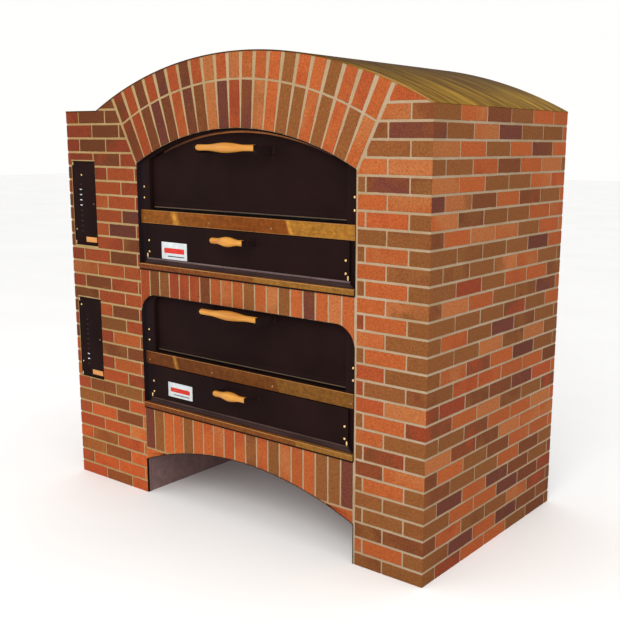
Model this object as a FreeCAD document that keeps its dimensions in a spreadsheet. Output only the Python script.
import FreeCAD, Part
import os
import re
import Sketcher

# Double-deck gas pizza oven in a brick-clad housing with a barrel roof.
# Millimetres, +X to the right, +Y to the back, +Z up.  The origin is on the floor,
# in the middle of the overall width and depth.  Depths are stated from the front
# brick face, and deck heights from the sill of each brick opening.

DIMENSIONS = (
    ("wide", 2159, "overall width, brick face to brick face"),
    ("deep", 1153, "depth from the front brick face to the rear panel's back"),
    ("face", 559, "distance from the origin forward to the front brick face"),
    ("wall_high", 1882, "height of the brick walls"),
    ("roof_rise", 231, "rise of the barrel roof above the walls"),
    ("shoulder", 239, "width of the flat shoulder over the control pillar"),
    ("roof_lip", 3, "roof sheet's overhang in front of the brick"),
    ("pillar_left", 521, "width of the control pillar"),
    ("pillar_right", 345.5, "width of the right pillar"),
    ("veneer", 25, "thickness of the brick veneer with its mortar bed"),
    ("gauge", 2, "sheet steel"),
    ("plate", 3, "plate steel"),
    ("gap", 0.5, "assembly gap round pieces that sit in a cut-out"),
    ("past", 10, "how far a cutting tool runs past a face"),
    ("tube", 40, "square tube of the frame"),
    ("tube_wall", 3, "wall of the square tube"),
    ("post_front", 266, "depth of the front uprights"),
    ("bearer_front", 340, "depth of the front deck bearers"),
    ("bearer_rear", 940, "depth of the rear deck bearers"),
    ("foot_high", 330, "height of the base compartment's posts"),
    ("base_spring", 178, "springing height of the base arch"),
    ("base_rise", 127, "rise of the base arch"),
    ("sill", 450, "height of the lower opening's sill"),
    ("pitch", 690, "height from one deck to the next"),
    ("low_head", 1018.5, "head of the lower opening"),
    ("low_corner", 100, "corner radius of the lower opening"),
    ("arch_spring", 1638, "springing height of the upper opening"),
    ("arch_rise", 160, "rise of the upper opening's arch"),
    ("strip_low", 219, "underside of the trim strip"),
    ("strip_high", 281, "top of the trim strip"),
    ("strip_face", 19, "depth of the trim strip's face"),
    ("sill_high", 27, "top of the metal sill"),
    ("sill_proud", 4, "how far the metal sill stands in front of the brick"),
    ("rail_low", 28, "underside of the hinge leaf"),
    ("knuckle_up", 51, "height of the access panel's hinge axis"),
    ("knuckle_in", 19, "depth of the access panel's hinge axis"),
    ("knuckle", 4.5, "radius of the hinge knuckles"),
    ("leaf", 2, "thickness of the hinge leaves"),
    ("rod", 2, "radius of the hinge rod"),
    ("running", 0.05, "radial running clearance of pins and shafts"),
    ("panel_low", 58, "underside of the access panel"),
    ("panel_high", 216, "top of the access panel"),
    ("panel_face", 15, "depth of the access panel's face"),
    ("panel_thick", 6.5, "thickness of the access panel's tray"),
    ("panel_side", 40, "distance from the opening's side to the access panel"),
    ("access_side", 100, "distance from the opening's side to the access hole"),
    ("access_low", 78, "underside of the access hole"),
    ("access_high", 205, "top of the access hole"),
    ("door_side", 63, "distance from the opening's side to the door hole"),
    ("door_top", 10, "distance from the opening's head to the door hole"),
    ("door_low", 284, "underside of the door hole"),
    ("door_gap", 3, "gap round the door"),
    ("door_foot", 308, "underside of the door"),
    ("door_face", 44, "depth of the door's outer face"),
    ("door_corner", 40, "corner radius of the lower door"),
    ("return_end", 62, "depth of the door return's back edge"),
    ("axis_up", 299, "height of the door's hinge axis"),
    ("axis_in", 56, "depth of the door's hinge axis"),
    ("pin", 5, "radius of the door's hinge pins"),
    ("ear", 6, "thickness of the hinge ears"),
    ("cavity_wide", 1120, "width of the baking cavity"),
    ("cavity_back", 983, "depth of the baking cavity's rear wall"),
    ("cavity_top", 515, "ceiling of the baking cavity"),
    ("deck_floor", 58, "top of the burner bay's floor"),
    ("hearth_top", 312, "top of the hearth slabs"),
    ("hearth_thick", 38, "thickness of the hearth slabs"),
    ("ledge", 20, "width and height of the hearth's support ledges"),
    ("wool", 45, "thickness of the mineral wool behind and under a deck"),
    ("wool_side", 60, "thickness of the mineral wool beside and over a deck"),
    ("wool_under", 16, "thickness of the mineral wool under a deck"),
    ("slack", 4, "clearance of pieces that slide into the cavity"),
    ("baffle_up", 220, "underside of the heat baffle"),
    ("baffle_front", 110, "depth of the heat baffle's front edge"),
    ("baffle_back", 925, "depth of the heat baffle's back edge"),
    ("baffle_side", 25, "gap beside the heat baffle"),
    ("lug", 30, "width of the lugs that hang the heat baffle"),
    ("lug_side", 60, "distance from the cavity's side to the first lugs"),
    ("lug_front", 250, "depth of the front lugs"),
    ("lug_back", 800, "depth of the rear lugs"),
    ("burner", 24, "outer radius of a burner tube"),
    ("burner_front", 220, "depth of the burner tubes' open ends"),
    ("burner_back", 940, "depth of the burner tubes' closed ends"),
    ("slot_wide", 6, "width of a burner's flame slots"),
    ("slot_long", 60, "length of a burner's flame slots"),
    ("slot_pitch", 90, "distance from one flame slot to the next"),
    ("slot_front", 310, "depth of the first flame slot"),
    ("burner_foot", 843, "depth of the burner tubes' support"),
    ("jet", 6, "outer radius of a gas jet"),
    ("jet_long", 26, "length of a gas jet from the pipe's axis"),
    ("pipe", 13.35, "outer radius of the gas pipe"),
    ("pipe_wall", 2.9, "wall of the gas pipe"),
    ("gas_up", 150, "height of the manifold's axis"),
    ("gas_in", 190, "depth of the manifold's axis"),
    ("column_in", 28, "depth of the control column's front"),
    ("column_back", 262, "depth of the control column's back"),
    ("cover_left", 31, "distance from the housing's side to the cover"),
    ("cover_wide", 172, "width of a control cover"),
    ("cover_low", 86, "underside of a control cover"),
    ("cover_high", 497, "top of a control cover"),
    ("cover_face", 3, "depth of a control cover's face"),
    ("cover_axis_side", 4, "distance from a cover's left edge to its hinge axis"),
    ("cover_axis_in", 4.5, "depth of a control cover's hinge axis"),
    ("cover_pin", 3, "radius of a control cover's hinge pins"),
    ("cover_pin_hold", 12, "length of a hinge pin welded to its cover"),
    ("louvre_side", 51, "distance from a cover's left edge to its louvres"),
    ("louvre_wide", 16, "width of a louvre"),
    ("louvre_tall", 6, "height of a louvre"),
    ("louvre_pitch", 26, "distance from one louvre to the next"),
    ("louvre_low", 150, "underside of the lowest louvre"),
    ("column_side", 6, "distance from a cover's right edge to the column's side"),
    ("column_foot", 50, "height of the column's foot above the lower sill"),
    ("column_over", 45, "height of the column's top above the upper cover"),
    ("board_margin", 20, "instrument board's margin above and below a cover"),
    ("frame_gap", 2, "gap round a control cover"),
    ("board_in", 110, "depth of the instrument board"),
    ("dial_up", 350, "height of the thermostat's axis"),
    ("button_up", 250, "height of the igniter's axis"),
    ("button", 9, "radius of the igniter's button"),
    ("button_long", 22, "length of the igniter's button"),
    ("button_proud", 10, "how far the button stands in front of its board"),
    ("dial", 30, "radius of the thermostat's dial"),
    ("knob", 24, "radius of the gas valve's knob"),
    ("knob_thick", 20, "thickness of the dial and of the knob"),
    ("knob_bar", 8, "width and height of the grip bar on a dial"),
    ("knob_gap", 3, "gap between a dial and its board"),
    ("shaft_long", 23, "length of a dial's shaft"),
    ("thermostat_half", 35, "half of the thermostat's width"),
    ("thermostat_tall", 30, "half of the thermostat's height"),
    ("thermostat_long", 55, "length of the thermostat"),
    ("valve_half", 45, "half of the gas valve's width"),
    ("valve_tall", 38, "half of the gas valve's height"),
    ("valve_front", 142, "depth of the gas valve's body"),
    ("valve_back", 235, "depth of the gas valve's back"),
    ("valve_neck", 14, "radius of the gas valve's neck"),
    ("duct_wide", 220, "width of the flue duct"),
    ("duct_in", 1060, "depth of the flue duct's front"),
    ("duct_back", 1140, "depth of the flue duct's back"),
    ("stub_low", 400, "underside of a flue stub"),
    ("stub_high", 484, "top of a flue stub"),
    ("damper_in", 1045, "depth of the damper's spindle"),
    ("spindle", 4, "radius of spindles and shafts"),
    ("blade_half", 37, "half of the damper blade's depth"),
    ("lever_long", 60, "length of the damper's lever"),
    ("lever_wide", 12, "width of the damper's lever"),
    ("lever_out", 10, "distance from the duct to the lever's far side"),
    ("collar", 76.2, "outer radius of the flue collar"),
    ("collar_up", 1700, "height of the flue collar's axis"),
    ("bead", 3, "height of the stop bead round the flue collar"),
    ("bead_wide", 6, "width of the stop bead and of the pipe's lock nut"),
    ("nut", 22, "radius of the lock nut on the gas inlet"),
    ("rear_reach", 60, "how far the collar and the inlet stand out at the back"),
    ("inlet_up", 760, "height of the gas inlet's axis"),
    ("tee", 18, "radius of the gas header's tees"),
    ("tee_half", 25, "half of the length of the gas header's tees"),
    ("header_in", 300, "depth of the gas riser"),
    ("grip_out", 59, "distance from the brick face forward to the handle axes"),
    ("grip_belly", 22, "largest radius of the turned handles"),
    ("grip_end", 12.5, "radius of the turned handles' ends"),
    ("door_grip", 346, "length of a door handle"),
    ("door_grip_drop", 12, "distance from the lower door's top to its handle axis"),
    ("arch_grip_drop", 70, "distance from the arched door's crown to its handle axis"),
    ("panel_grip", 198, "length of an access panel handle"),
    ("panel_grip_up", 177, "height of an access panel handle's axis"),
    ("arm", 5, "thickness of the handle arms"),
    ("arm_over", 8, "how far an arm's stem reaches above the handle axis"),
    ("arm_under", 24, "how far a door arm's stem reaches below the handle axis"),
    ("panel_arm_under", 12, "how far a panel arm's stem reaches below the handle axis"),
    ("liner_thick", 35, "thickness of a door's inner tray"),
    ("liner_drop", 6, "gap over a door's inner tray"),
    ("block", 15, "width of the door's hinge blocks"),
    ("block_under", 5.5, "how far a hinge block reaches below the axis"),
    ("block_over", 40, "how far a hinge block reaches above the axis"),
    ("ear_half", 10, "half of a hinge ear's height"),
    ("web", 7, "height of the webs between a leaf and its knuckles"),
    ("leaf_tall", 20, "height of the access panel's hinge leaf"),
    ("manifold_end", 60, "distance from the cavity's right side to the manifold's end"),
    ("screw", 5, "radius of the screw heads"),
    ("screw_proud", 3, "height of the screw heads"),
    ("screw_side", 23, "distance from the opening's side to the door screws"),
    ("screw_low", 340, "height of the lower door screws"),
    ("screw_high", 392, "height of the upper door screws"),
    ("strip_screw_side", 29, "distance from the opening's side to the strip's screws"),
    ("strip_screw_up", 240, "height of the strip's screws"),
    ("strip_screw_mid", 187, "distance from the middle to the strip's inner screws"),
)

DECKS = {"lower": "sill", "upper": "sill + pitch"}
MIDDLE = "(pillar_left - pillar_right)/2"
OPENING = "(wide - pillar_left - pillar_right)"
ARCH_RADIUS = f"({OPENING}^2/4 + arch_rise^2)/(2*arch_rise)"
ROOF_SPAN = "(wide - shoulder)"
ROOF_RADIUS = f"({ROOF_SPAN}^2/4 + roof_rise^2)/(2*roof_rise)"
ROOF_MIDDLE = "shoulder/2"
BASE_RADIUS = f"({OPENING}^2/4 + base_rise^2)/(2*base_rise)"
ALONG = {
    "X": FreeCAD.Rotation(FreeCAD.Vector(0, 1, 0), 90),
    "Y": FreeCAD.Rotation(FreeCAD.Vector(1, 0, 0), -90),
    "Z": FreeCAD.Rotation(),
}

doc = FreeCAD.newDocument("BrickDeckOven")
sheet = doc.addObject("Spreadsheet::Sheet", "Dims")
value = {}
nodes = []


def fill_sheet():
    for row, (alias, number, note) in enumerate(DIMENSIONS, start=1):
        sheet.set(f"A{row}", str(number))
        sheet.set(f"B{row}", note)
        sheet.setAlias(f"A{row}", alias)
        value[alias] = number
    doc.recompute()


def in_sheet(text):
    """The expression with every alias pointed at the spreadsheet."""
    return re.sub(r"[a-z_]+", lambda word: f"Dims.{word.group()}", text)


def inward(depth):
    """Y of a depth measured from the front brick face."""
    return f"({depth}) - face"


def bind(obj, **expressions):
    for name, text in expressions.items():
        obj.setExpression(name.replace("__", "."), in_sheet(text))
    return obj


def place(obj, low, rotation=None):
    obj.Placement = FreeCAD.Placement(FreeCAD.Vector(), rotation or FreeCAD.Rotation())
    for axis, text in zip("xyz", low):
        obj.setExpression(f"Placement.Base.{axis}", in_sheet(text))
    return obj


def box(low, high):
    """A box between two corners, each corner three expressions."""
    obj = doc.addObject("Part::Box", "Block")
    place(obj, low)
    for side, start, end in zip(("Length", "Width", "Height"), low, high):
        bind(obj, **{side: f"({end}) - ({start})"})
    return obj


def cylinder(start, radius, length, axis):
    obj = doc.addObject("Part::Cylinder", "Round")
    place(obj, start, ALONG[axis])
    return bind(obj, Radius=radius, Height=length)


def fuse(*shapes):
    obj = doc.addObject("Part::MultiFuse", "Joined")
    obj.Shapes = list(shapes)
    obj.Refine = True
    return obj


def common(first, second):
    obj = doc.addObject("Part::MultiCommon", "Shared")
    obj.Shapes = [first, second]
    return obj


def cut(base, *tools):
    obj = doc.addObject("Part::Cut", "Trimmed")
    obj.Base = base
    obj.Tool = tools[0] if len(tools) == 1 else group(*tools)
    return obj


def group(*solids):
    obj = doc.addObject("Part::Compound", "Group")
    obj.Links = list(solids)
    return obj


def node(label, obj):
    obj.Label = label
    nodes.append(obj)
    return obj


def arched_block(middle, span, low, centre, radius, front, back):
    """A block under an arc whose centre height and radius are given."""
    left = f"({middle}) - ({span})/2"
    right = f"({middle}) + ({span})/2"
    block = box((left, inward(front), low), (right, inward(back), f"({centre}) + ({radius}) + past"))
    disc = cylinder((middle, inward(front), centre), radius, f"({back}) - ({front})", "Y")
    return common(block, disc)


def rounded_block(middle, span, low, high, corner, front, back):
    """A block with its two top corners rounded."""
    left = f"({middle}) - ({span})/2"
    right = f"({middle}) + ({span})/2"
    sides = box((left, inward(front), low), (right, inward(back), f"({high}) - ({corner})"))
    top = box((f"{left} + ({corner})", inward(front), low),
              (f"{right} - ({corner})", inward(back), high))
    rounds = [cylinder((centre, inward(front), f"({high}) - ({corner})"), corner,
                       f"({back}) - ({front})", "Y")
              for centre in (f"{left} + ({corner})", f"{right} - ({corner})")]
    return fuse(sides, top, *rounds)


def deck_block(deck, side, top, low, front, back, corner="low_corner"):
    """The outline of a deck's brick opening, inset at its sides and top."""
    span = f"{OPENING} - 2*({side})"
    if deck == "upper":
        centre = f"arch_spring + arch_rise - {ARCH_RADIUS}"
        return arched_block(MIDDLE, span, low, centre, f"{ARCH_RADIUS} - ({top})", front, back)
    return rounded_block(MIDDLE, span, low, f"low_head - ({top})", f"{corner}", front, back)


def roof_block(extra, low, front, back):
    centre = f"wall_high + roof_rise - {ROOF_RADIUS}"
    return arched_block(ROOF_MIDDLE, ROOF_SPAN, low, centre, f"{ROOF_RADIUS} + ({extra})", front, back)


def base_block(front, back):
    centre = f"base_spring + base_rise - {BASE_RADIUS}"
    return arched_block(MIDDLE, OPENING, "-past", centre, BASE_RADIUS, front, back)


def window_block(base, margin, front, back):
    """The cut-out for a control cover, larger than the cover by a margin."""
    left = f"-wide/2 + cover_left - ({margin})"
    return box((left, inward(front), f"{base} + cover_low - ({margin})"),
               (f"-wide/2 + cover_left + cover_wide + ({margin})", inward(back),
                f"{base} + cover_high + ({margin})"))


def facade(front, back, inset):
    """The front wall: shoulder, arched top, two openings, base arch and two windows."""
    wall = box((f"-wide/2 + ({inset})", inward(front), "0"),
               (f"wide/2 - ({inset})", inward(back), "wall_high"))
    crown = common(roof_block("0", "wall_high - past", front, back),
                   box((f"-wide/2 + ({inset})", inward(front), "0"),
                       (f"wide/2 - ({inset})", inward(back), "wall_high + roof_rise + past")))
    tools = [base_block(f"({front}) - past", f"({back}) + past")]
    for deck, base in DECKS.items():
        tools.append(deck_block(deck, "0", "0", base, f"({front}) - past", f"({back}) + past"))
        tools.append(window_block(base, "frame_gap + gauge + gap", f"({front}) - past", f"({back}) + past"))
    return cut(fuse(wall, crown), *tools)


def brick_walls():
    node("brick_front", facade("0", "veneer", "0"))
    node("brick_left", box(("-wide/2", inward("veneer"), "0"),
                           ("-wide/2 + veneer", inward("deep"), "wall_high")))
    node("brick_right", box(("wide/2 - veneer", inward("veneer"), "0"),
                            ("wide/2", inward("deep"), "wall_high")))


def steel_walls():
    node("front_plate", facade("veneer", "veneer + plate", "veneer"))
    sides = [box((left, inward("veneer + plate"), "0"),
                 (f"{left} + gauge", inward("deep - gauge"), "wall_high"))
             for left in ("-wide/2 + veneer", "wide/2 - veneer - gauge")]
    node("side_panels", group(*sides))
    back = facade_back()
    node("rear_panel", back)


def facade_back():
    wall = box(("-wide/2 + veneer", inward("deep - gauge"), "0"),
               ("wide/2 - veneer", inward("deep"), "wall_high"))
    crown = common(roof_block("0", "wall_high - past", "deep - gauge", "deep"),
                   box(("-wide/2 + veneer", inward("deep - gauge"), "0"),
                       ("wide/2 - veneer", inward("deep"), "wall_high + roof_rise + past")))
    under = box((f"{MIDDLE} - {OPENING}/2", inward("deep - gauge - past"), "-past"),
                (f"{MIDDLE} + {OPENING}/2", inward("deep + past"), "foot_high - gauge"))
    flue = cylinder((MIDDLE, inward("deep - gauge - past"), "collar_up"), "collar + gap",
                    "gauge + 2*past", "Y")
    inlet = cylinder(("-wide/2 + cover_left + cover_wide/2", inward("deep - gauge - past"), "inlet_up"),
                     "pipe + gap", "gauge + 2*past", "Y")
    return cut(fuse(wall, crown), under, flue, inlet)


def roof():
    flat = box(("-wide/2", inward("-roof_lip"), "wall_high"),
               ("-wide/2 + shoulder", inward("deep"), "wall_high + gauge"))
    shell = cut(roof_block("gauge", "wall_high", "-roof_lip", "deep"),
                roof_block("0", "wall_high - past", "-roof_lip - past", "deep + past"))
    node("roof_sheet", fuse(flat, shell))


def tube(low, high, along):
    """A square tube between two corners, hollow along one axis."""
    inner_low = []
    inner_high = []
    for axis, start, end in zip("XYZ", low, high):
        inside = axis != along
        inner_low.append(f"({start}) + tube_wall" if inside else f"({start}) - past")
        inner_high.append(f"({end}) - tube_wall" if inside else f"({end}) + past")
    return cut(box(low, high), box(inner_low, inner_high))


def welded_frame():
    left = "-wide/2 + veneer + gauge"
    right = "wide/2 - veneer - gauge"
    inner_left = f"{MIDDLE} - {OPENING}/2 - gauge"
    inner_right = f"{MIDDLE} + {OPENING}/2 + gauge"
    front = inward("veneer + plate")
    back = inward("deep - gauge")
    bars = []
    for x in (left, f"{right} - tube"):
        for y in (front, f"{back} - tube"):
            bars.append(tube((x, y, "0"), (f"{x} + tube", f"{y} + tube", "foot_high"), "Z"))
        for y in (inward("post_front"), f"{back} - tube"):
            bars.append(tube((x, y, "foot_high + tube"),
                             (f"{x} + tube", f"{y} + tube", "wall_high - tube"), "Z"))
        bars.append(tube((x, front, "foot_high"), (f"{x} + tube", back, "foot_high + tube"), "Y"))
        bars.append(tube((x, front, "wall_high - tube"), (f"{x} + tube", back, "wall_high"), "Y"))
        for base in DECKS.values():
            bars.append(tube((x, inward("post_front + tube"), base),
                             (f"{x} + tube", f"{back} - tube", f"{base} + tube"), "Y"))
    for x in (f"{inner_left} - tube", inner_right):
        for y in (front, f"{back} - tube"):
            bars.append(tube((x, y, "0"), (f"{x} + tube", f"{y} + tube", "foot_high"), "Z"))
    for y in (front, f"{back} - tube"):
        for z in ("foot_high", "wall_high - tube"):
            bars.append(tube((f"{left} + tube", y, z),
                             (f"{right} - tube", f"{y} + tube", f"{z} + tube"), "X"))
    for depth in ("bearer_front", "bearer_rear"):
        for base in DECKS.values():
            bars.append(tube((f"{left} + tube", inward(depth), base),
                             (f"{right} - tube", f"{inward(depth)} + tube", f"{base} + tube"), "X"))
    for start in ("veneer + plate", "deep/2", "deep - gauge - tube/2"):
        end = f"{start} + tube/2"
        bars.append(common(cut(roof_block("-gauge", "wall_high", start, end),
                               roof_block("-tube", "wall_high - past", f"{start} - past", f"{end} + past")),
                           box((left, inward(start), "wall_high"),
                               (right, inward(end), "wall_high + roof_rise"))))
    node("frame", group(*bars))


def base_liner():
    left = f"{MIDDLE} - {OPENING}/2"
    right = f"{MIDDLE} + {OPENING}/2"
    front = inward("veneer + plate")
    back = inward("deep - gauge")
    walls = [box((f"{x} - gauge", front, "0"), (x, back, "foot_high")) for x in (left, f"{right} + gauge")]
    pan = box((left, front, "foot_high - gauge"), (right, back, "foot_high"))
    node("base_liner", group(*walls, pan))


def insulation():
    blankets = []
    for base in DECKS.values():
        half = "(cavity_wide/2 + gauge)"
        outer = box((f"{MIDDLE} - {half} - wool_side", inward("return_end + gauge"),
                     f"{base} + deck_floor - gauge - wool_under"),
                    (f"{MIDDLE} + {half} + wool_side", inward("cavity_back + gauge + wool"),
                     f"{base} + cavity_top + gauge + wool_side"))
        inner = box((f"{MIDDLE} - {half}", inward("return_end - past"), f"{base} + deck_floor - gauge"),
                    (f"{MIDDLE} + {half}", inward("cavity_back + gauge"), f"{base} + cavity_top + gauge"))
        pipe = cylinder((f"{MIDDLE} - {half} - wool_side - past", inward("gas_in"), f"{base} + gas_up"),
                        "pipe + gap", "wool_side + 2*past", "X")
        stub = box((f"{MIDDLE} - duct_wide/2", inward("cavity_back"), f"{base} + stub_low - gap"),
                   (f"{MIDDLE} + duct_wide/2", inward("cavity_back + gauge + wool + past"),
                    f"{base} + stub_high + gap"))
        blankets.append(cut(outer, inner, pipe, stub))
    node("insulation", group(*blankets))


def flue_duct():
    left = f"{MIDDLE} - duct_wide/2"
    right = f"{MIDDLE} + duct_wide/2"
    low = "sill + stub_low - past"
    high = "collar_up + collar + past"
    outer = [box((left, inward("duct_in"), low), (right, inward("duct_back"), high))]
    inner = [box((f"{left} + gauge", inward("duct_in + gauge"), f"{low} + gauge"),
                 (f"{right} - gauge", inward("duct_back - gauge"), f"{high} - gauge")),
             cylinder((MIDDLE, inward("duct_back - past"), "collar_up"), "collar - gauge", "2*past", "Y")]
    for base in DECKS.values():
        outer.append(box((left, inward("cavity_back + gauge"), f"{base} + stub_low"),
                         (right, inward("duct_in + gauge"), f"{base} + stub_high")))
        inner.append(box((f"{left} + gauge", inward("cavity_back"), f"{base} + stub_low + gauge"),
                         (f"{right} - gauge", inward("duct_in + past"), f"{base} + stub_high - gauge")))
        inner.append(cylinder((f"{left} - past", inward("damper_in"), f"{base} + (stub_low + stub_high)/2"),
                              "spindle + running", "duct_wide + 2*past", "X"))
    reach = "deep + rear_reach - duct_back"
    collar = cut(fuse(cylinder((MIDDLE, inward("duct_back"), "collar_up"), "collar", reach, "Y"),
                      cylinder((MIDDLE, inward("deep + gap"), "collar_up"), "collar + bead",
                               "bead_wide", "Y")),
                 cylinder((MIDDLE, inward("duct_back - past"), "collar_up"), "collar - gauge",
                          f"{reach} + 2*past", "Y"))
    node("flue_duct", group(cut(fuse(*outer), *inner), collar))


def gas_header():
    middle = "-wide/2 + cover_left + cover_wide/2"
    riser = cylinder((middle, inward("header_in"), "sill + gas_up"), "pipe", "pitch", "Z")
    inlet = cylinder((middle, inward("header_in"), "inlet_up"), "pipe", "deep + rear_reach - header_in", "Y")
    lock_nut = cylinder((middle, inward("deep + gap"), "inlet_up"), "nut", "bead_wide", "Y")
    bore = cylinder((middle, inward("header_in + tee"), "inlet_up"), "pipe - pipe_wall",
                    "deep + rear_reach - header_in", "Y")
    branches = [cylinder((middle, inward("valve_back"), f"{base} + gas_up"), "pipe",
                         "header_in - valve_back", "Y") for base in DECKS.values()]
    tees = [cylinder((middle, inward("header_in"), f"{up} - tee_half"), "tee", "2*tee_half", "Z")
            for up in ("inlet_up", "sill + gas_up", "sill + pitch + gas_up")]
    node("gas_header", cut(fuse(riser, inlet, lock_nut, *branches, *tees), bore))


def control_column():
    left = "-wide/2 + veneer + gauge + gap"
    right = "-wide/2 + cover_left + cover_wide + column_side"
    low = "sill + column_foot"
    high = "sill + pitch + cover_high + column_over"
    shell = cut(box((left, inward("column_in"), low), (right, inward("column_back"), high)),
                box((f"{left} + gauge", inward("column_in + gauge"), f"{low} + gauge"),
                    (f"{right} - gauge", inward("column_back - gauge"), f"{high} - gauge")))
    pieces = [shell]
    tools = []
    middle = "-wide/2 + cover_left + cover_wide/2"
    for base in DECKS.values():
        sleeve = cut(window_block(base, "frame_gap + gauge", "gauge", "column_in + gauge"),
                     window_block(base, "frame_gap", "gauge - past", "column_in + gauge + past"))
        board = box((left, inward("board_in"), f"{base} + cover_low - board_margin"),
                    (right, inward("board_in + gauge"), f"{base} + cover_high + board_margin"))
        pieces += [sleeve, board]
        tools.append(window_block(base, "frame_gap", "gauge - past", "column_in + gauge + past"))
        tools.append(cylinder(("-wide/2 + cover_left + cover_axis_side", inward("cover_axis_in"),
                               f"{base} + cover_low - past"),
                              "cover_pin + running", "cover_high - cover_low + 2*past", "Z"))
        tools.append(cylinder((middle, inward("column_back - past"), f"{base} + gas_up"),
                              "pipe + gap", "2*past", "Y"))
        tools.append(cylinder((f"{right} - past", inward("gas_in"), f"{base} + gas_up"),
                              "pipe + gap", "2*past", "X"))
        for up, radius in (("gas_up", "spindle"), ("dial_up", "spindle"), ("button_up", "button")):
            tools.append(cylinder((middle, inward("board_in - past"), f"{base} + {up}"),
                                  f"{radius} + gap", "2*past + gauge", "Y"))
    node("control_column", cut(fuse(*pieces), *tools))


def screw_head(x, depth, z):
    return cylinder((x, inward(f"{depth} - screw_proud"), z), "screw", "screw_proud", "Y")


def trim_screws():
    heads = []
    for base in DECKS.values():
        for sign in ("-1", "1"):
            side = f"{MIDDLE} + {sign}*({OPENING}/2 - screw_side)"
            heads += [screw_head(side, "veneer", f"{base} + {up}") for up in ("screw_low", "screw_high")]
            heads += [screw_head(f"{MIDDLE} + {sign}*({reach})", "strip_face", f"{base} + strip_screw_up")
                      for reach in (f"{OPENING}/2 - strip_screw_side", "strip_screw_mid")]
    node("trim_screws", group(*heads))


def surround(deck, base):
    bottom = f"{base} + gap"
    sleeve = cut(deck_block(deck, "gap", "gap", bottom, "1", "veneer", "low_corner - gap"),
                 deck_block(deck, "gap + gauge", "gap + gauge", f"{base} - past", "1 - past", "veneer + past",
                            "low_corner - gap - gauge"))
    flange = cut(deck_block(deck, "gap", "gap", bottom, "veneer", "veneer + plate", "low_corner - gap"),
                 deck_block(deck, "door_side", "door_top", f"{base} + door_low", "veneer - past",
                            "veneer + plate + past", "door_corner"),
                 box((f"{MIDDLE} - {OPENING}/2 + access_side", inward("veneer - past"),
                      f"{base} + access_low"),
                     (f"{MIDDLE} + {OPENING}/2 - access_side", inward("veneer + plate + past"),
                      f"{base} + access_high")))
    door_return = deck_block(deck, "door_side - gauge", "door_top - gauge", f"{base} + door_low - gauge",
                             "veneer + plate", "return_end", "door_corner + gauge")
    hole = deck_block(deck, "door_side", "door_top", f"{base} + door_low", "veneer + plate - past",
                      "return_end + past", "door_corner")
    ears = []
    holes = []
    for sign in ("-1", "1"):
        side = f"{MIDDLE} + {sign}*({OPENING}/2 - door_side + gauge + ear/2)"
        ears.append(box((f"{side} - ear/2", inward("axis_in - ear_half"), f"{base} + axis_up - ear_half"),
                        (f"{side} + ear/2", inward("return_end"), f"{base} + axis_up + ear_half")))
        holes.append(cylinder((f"{side} - ear - past", inward("axis_in"), f"{base} + axis_up"),
                              "pin + running", "2*ear + 2*past", "X"))
    folded = fuse(cut(fuse(door_return, *ears), hole), flange, sleeve)
    node(f"surround_{deck}", cut(folded, *holes))


def trim_strip(deck, base):
    left = f"{MIDDLE} - {OPENING}/2 + gauge + 2*gap"
    right = f"{MIDDLE} + {OPENING}/2 - gauge - 2*gap"
    bar = box((left, inward("strip_face"), f"{base} + strip_low"),
              (right, inward("veneer"), f"{base} + strip_high"))
    hollow = box((f"{left} + gauge", inward("strip_face + gauge"), f"{base} + strip_low + gauge"),
                 (f"{right} - gauge", inward("veneer + past"), f"{base} + strip_high - gauge"))
    node(f"trim_strip_{deck}", cut(bar, hollow))


def sill_trim(deck, base):
    left = f"{MIDDLE} - {OPENING}/2 + gauge + 2*gap"
    right = f"{MIDDLE} + {OPENING}/2 - gauge - 2*gap"
    bar = box((left, inward("-sill_proud"), f"{base} + gap"),
              (right, inward("veneer - gap"), f"{base} + sill_high"))
    hollow = box((f"{left} + gauge", inward("-sill_proud + gauge"), f"{base} - past"),
                 (f"{right} - gauge", inward("veneer + past"), f"{base} + sill_high - gauge"))
    node(f"sill_trim_{deck}", cut(bar, hollow))


def knuckles(base, moving):
    """Knuckles of the continuous hinge, alternating between its two leaves."""
    left = f"{MIDDLE} - {OPENING}/2 + panel_side"
    pitch = f"(({OPENING} - 2*panel_side)/9)"
    rounds = []
    webs = []
    for place_along in range(1 if moving else 0, 9, 2):
        start = f"{left} + {place_along}*{pitch} + gap/2"
        rounds.append(cylinder((start, inward("knuckle_in"), f"{base} + knuckle_up"), "knuckle",
                               f"{pitch} - gap", "X"))
        low, high = ("knuckle_up", "panel_low") if moving else ("knuckle_up - web", "knuckle_up")
        webs.append(box((start, inward("knuckle_in + knuckle - leaf"), f"{base} + {low}"),
                        (f"{start} + {pitch} - gap", inward("knuckle_in + knuckle"), f"{base} + {high}")))
    return rounds + webs


def hinge_rail(deck, base):
    left = f"{MIDDLE} - {OPENING}/2 + gauge + 2*gap"
    right = f"{MIDDLE} + {OPENING}/2 - gauge - 2*gap"
    fixed_leaf = box((left, inward("knuckle_in + knuckle - leaf"), f"{base} + rail_low"),
                     (right, inward("knuckle_in + knuckle"), f"{base} + knuckle_up - web"))
    bore = cylinder((left, inward("knuckle_in"), f"{base} + knuckle_up"), "rod + running", OPENING, "X")
    node(f"hinge_rail_{deck}", cut(fuse(fixed_leaf, *knuckles(base, False)), bore))


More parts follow.
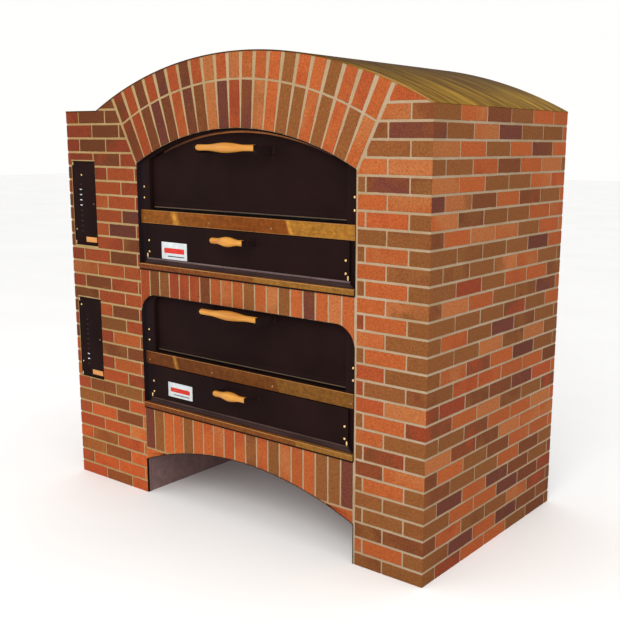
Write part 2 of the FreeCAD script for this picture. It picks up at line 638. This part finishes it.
def chamber(deck, base):
    half = "cavity_wide/2"
    outer = box((f"{MIDDLE} - {half} - gauge", inward("return_end"), f"{base} + deck_floor - gauge"),
                (f"{MIDDLE} + {half} + gauge", inward("cavity_back + gauge"), f"{base} + cavity_top + gauge"))
    inner = box((f"{MIDDLE} - {half}", inward("return_end - past"), f"{base} + deck_floor"),
                (f"{MIDDLE} + {half}", inward("cavity_back"), f"{base} + cavity_top"))
    vent = box((f"{MIDDLE} - duct_wide/2 + gauge", inward("cavity_back - past"),
                f"{base} + stub_low + gauge"),
               (f"{MIDDLE} + duct_wide/2 - gauge", inward("cavity_back + past"),
                f"{base} + stub_high - gauge"))
    pipe = cylinder((f"{MIDDLE} - {half} - past", inward("gas_in"), f"{base} + gas_up"), "pipe + gap",
                    "2*past", "X")
    shelf = f"{base} + hearth_top - hearth_thick"
    ledges = [box((start, inward("return_end + slack"), f"{shelf} - ledge"),
                  (f"{start} + ledge", inward("cavity_back"), shelf))
              for start in (f"{MIDDLE} - {half}", f"{MIDDLE} + {half} - ledge",
                            f"{MIDDLE} - ledge/2")]
    cross = box((f"{MIDDLE} - {half}", inward("return_end + slack"), f"{shelf} - ledge"),
                (f"{MIDDLE} + {half}", inward("return_end + slack + ledge"), shelf))
    node(f"chamber_{deck}", fuse(cut(outer, inner, vent, pipe), *ledges, cross))


def hearth(deck, base):
    slab = "(cavity_wide/4)"
    slabs = [box((f"{MIDDLE} - cavity_wide/2 + {count}*{slab} + gap", inward("return_end + slack"),
                  f"{base} + hearth_top - hearth_thick"),
                 (f"{MIDDLE} - cavity_wide/2 + {count + 1}*{slab} - gap", inward("cavity_back - gauge"),
                  f"{base} + hearth_top"))
             for count in range(4)]
    node(f"hearth_{deck}", group(*slabs))


def baffle(deck, base):
    low = f"{base} + baffle_up"
    sheet_metal = box((f"{MIDDLE} - cavity_wide/2 + baffle_side", inward("baffle_front"), low),
                      (f"{MIDDLE} + cavity_wide/2 - baffle_side", inward("baffle_back"), f"{low} + plate"))
    lugs = []
    for across in ("-1", "-0.5", "0.5", "1"):
        x = f"{MIDDLE} + {across}*(cavity_wide/2 - lug_side)"
        for depth in ("lug_front", "lug_back"):
            lugs.append(box((f"{x} - lug/2", inward(depth), f"{low} + plate"),
                            (f"{x} + lug/2", inward(f"{depth} + plate"),
                             f"{base} + hearth_top - hearth_thick")))
    node(f"baffle_{deck}", fuse(sheet_metal, *lugs))


def burner_places():
    return [f"{MIDDLE} + {across}*cavity_wide/8" for across in ("-3", "-1", "1", "3")]


def burners(deck, base):
    tubes = []
    up = f"{base} + gas_up"
    for x in burner_places():
        body = cylinder((x, inward("burner_front"), up), "burner", "burner_back - burner_front", "Y")
        bore = cylinder((x, inward("burner_front - past"), up), "burner - gauge",
                        "burner_back - burner_front + past - gauge", "Y")
        slots = [box((f"{x} - slot_wide/2", inward(f"slot_front + {count}*slot_pitch"), up),
                     (f"{x} + slot_wide/2", inward(f"slot_front + {count}*slot_pitch + slot_long"),
                      f"{up} + burner + past"))
                 for count in range(6)]
        foot = box((f"{x} - burner", inward("burner_foot"), f"{base} + deck_floor"),
                   (f"{x} + burner", inward("burner_foot + plate"), f"{up} - burner + gauge/2"))
        tubes.append(fuse(cut(body, bore, *slots), foot))
    node(f"burners_{deck}", group(*tubes))


def manifold(deck, base):
    start = "-wide/2 + cover_left + cover_wide/2 + valve_half"
    end = f"{MIDDLE} + cavity_wide/2 - manifold_end"
    up = f"{base} + gas_up"
    line = cylinder((start, inward("gas_in"), up), "pipe", f"({end}) - ({start})", "X")
    jets = [cylinder((x, inward("gas_in"), up), "jet", "jet_long", "Y") for x in burner_places()]
    node(f"manifold_{deck}", fuse(line, *jets))


def damper(deck, base):
    up = f"{base} + (stub_low + stub_high)/2"
    side = f"{MIDDLE} - duct_wide/2"
    blade = box((f"{side} + 2*gauge", inward("damper_in - blade_half"), f"{up} - gauge/2"),
                (f"{MIDDLE} + duct_wide/2 - 2*gauge", inward("damper_in + blade_half"), f"{up} + gauge/2"))
    rod = cylinder((f"{side} - lever_out - spindle", inward("damper_in"), up), "spindle",
                   "duct_wide + lever_out + 2*spindle", "X")
    lever = box((f"{side} - lever_out", inward("damper_in - lever_wide/2"), f"{up} - lever_long"),
                (f"{side} - lever_out + arm", inward("damper_in + lever_wide/2"), f"{up} + lever_wide/2"))
    node(f"damper_{deck}", fuse(blade, rod, lever))


def door_crown(deck):
    head = "arch_spring + arch_rise" if deck == "upper" else "low_head"
    return f"{head} - door_top - door_gap"


def door(deck, base):
    node(f"door_{deck}", deck_block(deck, "door_side + door_gap", "door_top + door_gap",
                                    f"{base} + door_foot", "door_face", "door_face + plate",
                                    "door_corner - door_gap"))
    low = (f"{MIDDLE} - cavity_wide/2 + slack", inward("door_face + plate"), f"{base} + hearth_top + slack")
    high = (f"{MIDDLE} + cavity_wide/2 - slack", inward("door_face + plate + liner_thick"),
            f"{base} + cavity_top - liner_drop")
    tray = box(low, high)
    hollow = box((f"{low[0]} + gauge", f"{low[1]} - past", f"{low[2]} + gauge"),
                 (f"{high[0]} - gauge", f"{high[1]} - gauge", f"{high[2]} - gauge"))
    node(f"door_liner_{deck}", cut(tray, hollow))


def profile_sketch(body):
    """An empty sketch on the body's own XY plane."""
    sketch = body.newObject("Sketcher::SketchObject", "Profile")
    plane = [item for item in body.Origin.OriginFeatures if item.Role == "XY_Plane"][0]
    sketch.AttachmentSupport = [(plane, "")]
    sketch.MapMode = "FlatFace"
    return sketch


def grip_profile(sketch, length):
    """Half of a turned handle's outline: straight ends, and an arc over the belly."""
    reach = value[length]/2
    straight = reach/2
    end = value["grip_end"]
    foot_left, foot_right = FreeCAD.Vector(-reach, 0, 0), FreeCAD.Vector(reach, 0, 0)
    end_left, end_right = FreeCAD.Vector(-reach, end, 0), FreeCAD.Vector(reach, end, 0)
    belly_left, belly_right = FreeCAD.Vector(-straight, end, 0), FreeCAD.Vector(straight, end, 0)
    crown = FreeCAD.Vector(0, value["grip_belly"], 0)
    for edge in (Part.LineSegment(foot_left, end_left), Part.LineSegment(end_left, belly_left),
                 Part.Arc(belly_left, crown, belly_right), Part.LineSegment(belly_right, end_right),
                 Part.LineSegment(end_right, foot_right), Part.LineSegment(foot_right, foot_left)):
        sketch.addGeometry(edge)
    for joined in ((0, 2, 1, 1), (1, 2, 2, 2), (2, 1, 3, 1), (3, 2, 4, 1), (4, 2, 5, 1), (5, 2, 0, 1)):
        sketch.addConstraint(Sketcher.Constraint("Coincident", *joined))
    for kind, line in (("Vertical", 0), ("Vertical", 4), ("Horizontal", 1), ("Horizontal", 3)):
        sketch.addConstraint(Sketcher.Constraint(kind, line))
    sketch.addConstraint(Sketcher.Constraint("PointOnObject", 4, 2, -1))
    for pair in ((0, 1, 4, 2), (1, 2, 3, 1)):
        sketch.addConstraint(Sketcher.Constraint("Symmetric", *pair, -2))
    rise = "(grip_belly - grip_end)"
    for constraint, text in (
            (Sketcher.Constraint("DistanceX", 5, 2, 5, 1, 2*reach), length),
            (Sketcher.Constraint("DistanceY", 0, 1, 0, 2, end), "grip_end"),
            (Sketcher.Constraint("DistanceX", 1, 1, 1, 2, reach - straight), f"{length}/4"),
            (Sketcher.Constraint("Radius", 2, sketch.Geometry[2].Radius),
             f"({length}^2/16 + {rise}^2)/(2*{rise})")):
        index = sketch.addConstraint(constraint)
        sketch.setExpression(f"Constraints[{index}]", in_sheet(text))


def turned_grip(label, length, up):
    """A turned wooden handle, revolved about X."""
    body = doc.addObject("PartDesign::Body", "Grip")
    sketch = profile_sketch(body)
    grip_profile(sketch, length)
    turned = body.newObject("PartDesign::Revolution", "Turned")
    turned.Profile = sketch
    turned.ReferenceAxis = (sketch, ["H_Axis"])
    turned.Angle = 360
    place(body, (MIDDLE, inward("-grip_out"), up))
    node(label, body)


def grip_arms(length, up, root, drop):
    """Two flat arms from a door's face out to the ends of its handle, with feet."""
    solids = []
    for sign in ("-1", "1"):
        x = f"{MIDDLE} + {sign}*({length}/2 + arm/2)"
        arm = box((f"{x} - arm/2", inward("-grip_out - grip_end"), f"{up} - grip_end"),
                  (f"{x} + arm/2", inward("-grip_out + grip_end"), f"{up} + grip_end"))
        stem = box((f"{x} - arm/2", inward("-grip_out"), f"{up} - {drop}"),
                   (f"{x} + arm/2", inward(root), f"{up} + arm_over"))
        foot = box((f"{x} - 3*arm", inward(f"{root} - plate"), f"{up} - {drop}"),
                   (f"{x} + 3*arm", inward(root), f"{up} + arm_over"))
        solids.append(fuse(arm, stem, foot))
    return solids


def door_furniture(deck, base):
    drop = "arch_grip_drop" if deck == "upper" else "door_grip_drop"
    up = f"{door_crown(deck)} - {drop}"
    turned_grip(f"door_grip_{deck}", "door_grip", up)
    solids = grip_arms("door_grip", up, "door_face", "arm_under")
    for sign in ("-1", "1"):
        edge = f"{MIDDLE} + {sign}*({OPENING}/2 - door_side - door_gap)"
        inner = f"{edge} - {sign}*block/2"
        block = box((f"{inner} - block/2", inward("door_face + plate"), f"{base} + axis_up - block_under"),
                    (f"{inner} + block/2", inward("axis_in + pin"), f"{base} + axis_up + block_over"))
        reach = "(door_gap + gauge + ear)"
        stub = cylinder((f"{edge} + ({sign} - 1)/2*{reach}", inward("axis_in"), f"{base} + axis_up"),
                        "pin", reach, "X")
        solids.append(fuse(block, stub))
    node(f"door_hardware_{deck}", group(*solids))


def access_panel(deck, base):
    left = f"{MIDDLE} - {OPENING}/2 + panel_side"
    right = f"{MIDDLE} + {OPENING}/2 - panel_side"
    tray = box((left, inward("panel_face"), f"{base} + panel_low"),
               (right, inward("panel_face + panel_thick"), f"{base} + panel_high"))
    hollow = box((f"{left} + gauge", inward("panel_face + gauge"), f"{base} + panel_low + gauge"),
                 (f"{right} - gauge", inward("panel_face + panel_thick + past"),
                  f"{base} + panel_high - gauge"))
    node(f"access_panel_{deck}", cut(tray, hollow))
    up = f"{base} + panel_grip_up"
    turned_grip(f"panel_grip_{deck}", "panel_grip", up)
    moving_leaf = box((left, inward("knuckle_in + knuckle - leaf"), f"{base} + panel_low"),
                      (right, inward("knuckle_in + knuckle"), f"{base} + panel_low + leaf_tall"))
    rod = cylinder((left, inward("knuckle_in"), f"{base} + knuckle_up"),
                   "rod", f"{OPENING} - 2*panel_side", "X")
    hinge = fuse(moving_leaf, rod, *knuckles(base, True))
    arms = grip_arms("panel_grip", up, "panel_face", "panel_arm_under")
    node(f"panel_hardware_{deck}", group(hinge, *arms))


def control_cover(deck, base):
    left = "-wide/2 + cover_left"
    low = f"{base} + cover_low"
    high = f"{base} + cover_high"
    sheet_metal = box((left, inward("cover_face"), low),
                      (f"{left} + cover_wide", inward("cover_face + plate"), high))
    louvres = []
    for count in range(10):
        under = f"{base} + louvre_low + {count}*louvre_pitch"
        louvres.append(box((f"{left} + louvre_side", inward("-past"), under),
                           (f"{left} + louvre_side + louvre_wide", inward("past"), f"{under} + louvre_tall")))
    pins = [cylinder((f"{left} + cover_axis_side", inward("cover_axis_in"), start), "cover_pin",
                     "frame_gap + gauge + cover_pin_hold", "Z")
            for start in (f"{low} - frame_gap - gauge", f"{high} - cover_pin_hold")]
    node(f"control_cover_{deck}", fuse(cut(sheet_metal, *louvres), *pins))


def dial(label, base, up, radius):
    """A round knob with a grip bar, on a shaft that enters the control behind it."""
    x = "-wide/2 + cover_left + cover_wide/2"
    front = "board_in - knob_gap - knob_thick"
    disc = cylinder((x, inward(front), f"{base} + {up}"), radius, "knob_thick", "Y")
    bar = box((f"{x} - knob_bar/2", inward(f"{front} - knob_bar"), f"{base} + {up} - {radius} + slack"),
              (f"{x} + knob_bar/2", inward(front), f"{base} + {up} + {radius} - slack"))
    shaft = cylinder((x, inward("board_in - knob_gap"), f"{base} + {up}"), "spindle", "shaft_long", "Y")
    node(label, fuse(disc, bar, shaft))


def controls(deck, base):
    x = "-wide/2 + cover_left + cover_wide/2"
    back = "board_in + gauge"
    bores = [cylinder((x, inward("board_in"), f"{base} + {up}"), "spindle + running", "shaft_long", "Y")
             for up in ("dial_up", "gas_up")]
    body = box((f"{x} - thermostat_half", inward(back), f"{base} + dial_up - thermostat_tall"),
               (f"{x} + thermostat_half", inward(f"{back} + thermostat_long"),
                f"{base} + dial_up + thermostat_tall"))
    node(f"thermostat_{deck}", cut(body, bores[0]))
    valve = box((f"{x} - valve_half", inward("valve_front"), f"{base} + gas_up - valve_tall"),
                (f"{x} + valve_half", inward("valve_back"), f"{base} + gas_up + valve_tall"))
    neck = cylinder((x, inward(back), f"{base} + gas_up"), "valve_neck", "valve_front - board_in", "Y")
    node(f"gas_valve_{deck}", cut(fuse(valve, neck), bores[1]))
    dial(f"dial_{deck}", base, "dial_up", "dial")
    dial(f"valve_knob_{deck}", base, "gas_up", "knob")
    node(f"igniter_{deck}", cylinder((x, inward("board_in - button_proud"), f"{base} + button_up"),
                                     "button", "button_long", "Y"))


def check_and_export():
    doc.recompute()
    failed = [obj.Name for obj in doc.Objects if {"Invalid", "Error"} & set(obj.State)]
    if failed:
        raise SystemExit(f"failed objects: {failed}")
    os.makedirs("parts", exist_ok=True)
    for obj in nodes:
        if obj.Shape.isNull() or not obj.Shape.isValid() or not obj.Shape.Solids:
            raise SystemExit(f"{obj.Label} has no valid solid")
    for obj in nodes:
        obj.Shape.exportStep(f"parts/{obj.Label}.step")
    print(len(nodes), "nodes,", sum(len(obj.Shape.Solids) for obj in nodes), "solids")


def build():
    fill_sheet()
    brick_walls()
    steel_walls()
    roof()
    welded_frame()
    base_liner()
    insulation()
    flue_duct()
    gas_header()
    control_column()
    trim_screws()
    for deck, base in DECKS.items():
        for make in (surround, trim_strip, sill_trim, hinge_rail, chamber, hearth, baffle, burners,
                     manifold, damper, door, door_furniture, access_panel, control_cover, controls):
            make(deck, base)
    check_and_export()


build()
